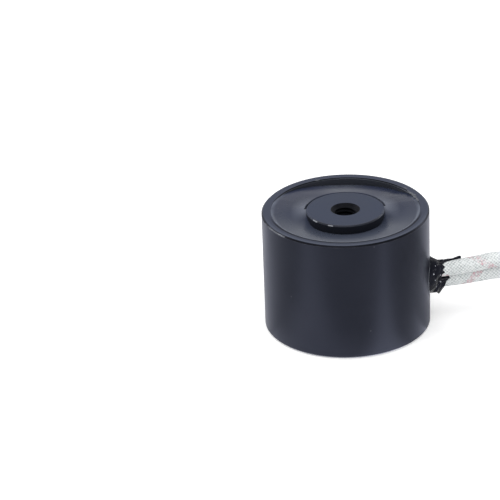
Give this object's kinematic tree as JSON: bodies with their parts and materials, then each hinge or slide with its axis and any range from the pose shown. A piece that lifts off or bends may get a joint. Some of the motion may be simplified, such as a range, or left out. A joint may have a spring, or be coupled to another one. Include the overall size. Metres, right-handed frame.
{
  "type": "holding electromagnet",
  "caption": "Round pot-type holding electromagnet with a threaded centre pole, resin-filled face and braided leads from the side wall.",
  "frame": {"origin": "centre of the closed back face, which the magnet stands on", "axes": "+Z along the pot's axis towards the pole faces; the leads leave towards +X"},
  "size_m": [0.1534, 0.0706, 0.037],
  "materials": {
    "black_coat": "satin",
    "pole_coat": "matte",
    "former_plastic": "matte",
    "enamelled_wire": "gloss",
    "coil_tape": "gloss",
    "wire_sleeve": "matte",
    "tinned_strands": "satin",
    "shrink_sleeve": "satin",
    "resin": "satin",
    "sealant": "gloss",
    "lead_braid": "matte",
    "tie_plastic": "satin"
  },
  "bodies": {
    "root": {"pot": "black_coat", "core": "pole_coat", "coil_former": "former_plastic", "winding": "enamelled_wire", "winding_tape": "coil_tape", "start_tail": "enamelled_wire", "finish_tail": "enamelled_wire", "start_tail_sleeve": "wire_sleeve", "finish_tail_sleeve": "wire_sleeve", "joint_a": "tinned_strands", "joint_b": "tinned_strands", "joint_sleeve_a": "shrink_sleeve", "joint_sleeve_b": "shrink_sleeve", "strands_a": "tinned_strands", "strands_b": "tinned_strands", "resin_filling": "resin", "exit_sealant": "sealant", "lead_a": "lead_braid", "lead_b": "lead_braid", "lead_a_coil": "lead_braid", "lead_b_coil": "lead_braid", "lead_a_end": "tinned_strands", "lead_b_end": "tinned_strands", "lead_tie": "tie_plastic"}
  },
  "joints": []
}
